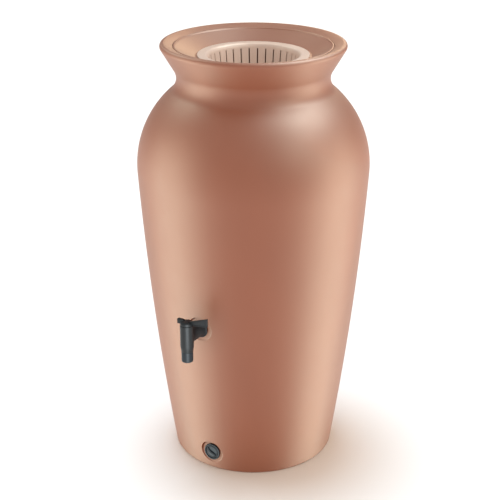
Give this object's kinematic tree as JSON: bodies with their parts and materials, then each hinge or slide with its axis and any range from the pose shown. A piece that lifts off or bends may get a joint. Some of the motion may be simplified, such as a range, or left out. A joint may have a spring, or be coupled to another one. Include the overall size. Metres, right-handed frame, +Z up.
{
  "type": "rain barrel",
  "caption": "Amphora-shaped rain barrel with a flared rim, a dished lid holding a slotted strainer basket, a lever tap with a hose nozzle and a screwed drain plug.",
  "frame": {"origin": "centre of the foot ring, on the ground, on the axis of the barrel", "axes": "+Z up along the barrel's axis; the tap and the drain plug face -Y; +X is to the right when facing them"},
  "size_m": [0.6192, 0.669, 1.155],
  "materials": {
    "terracotta": "satin moulded plastic, terracotta",
    "terracotta_lid": "satin moulded plastic, terracotta",
    "basket_plastic": "satin, pale pinkish beige",
    "tap_plastic": "satin dark slate grey",
    "cock_plastic": "smooth dark grey",
    "drain_plastic": "satin near black",
    "rubber": "matt black rubber",
    "steel": "plain zinc"
  },
  "bodies": {
    "barrel": {"barrel_body": "terracotta", "tap_body": "tap_plastic", "tap_nozzle": "tap_plastic", "nozzle_o_ring": "rubber", "tap_outer_washer": "rubber", "tap_inner_washer": "rubber", "tap_nut": "tap_plastic", "drain_bush": "drain_plastic", "drain_outer_washer": "rubber", "drain_inner_washer": "rubber", "drain_nut": "drain_plastic"},
    "lid": {"lid": "terracotta_lid"},
    "basket": {"filter_basket": "basket_plastic"},
    "tap_lever": {"tap_cock": "cock_plastic", "cock_o_rings": "rubber", "tap_handle": "tap_plastic", "handle_screw": "steel", "tap_cap": "tap_plastic"},
    "plug_seal": {"drain_plug_seal": "rubber"},
    "plug": {"drain_plug": "drain_plastic"}
  },
  "joints": [
    {"name": "lid_lift", "type": "slide", "parent": "barrel", "child": "lid", "axis": [0, 0, 1], "range_m": [0, 0.2]},
    {"name": "basket_lift", "type": "slide", "parent": "lid", "child": "basket", "axis": [0, 0, 1], "range_m": [0, 0.16]},
    {"name": "tap_turn", "type": "hinge", "parent": "barrel", "child": "tap_lever", "pos_m": [0, -0.342, 0.452], "axis": [0, 0, -1], "range_deg": [0, 90]},
    {"name": "plug_pull", "type": "slide", "parent": "barrel", "child": "plug_seal", "axis": [0, -1, 0], "range_m": [0, 0.0128]},
    {"name": "plug_unscrew", "type": "hinge", "parent": "plug_seal", "child": "plug", "pos_m": [0, -0.2281, 0.0535], "axis": [0, -1, 0], "range_deg": [0, 2520]}
  ],
  "couplings": [
    {"joint": "plug_pull", "follows": "plug_unscrew", "m_per_rad": 0.00028871}
  ]
}
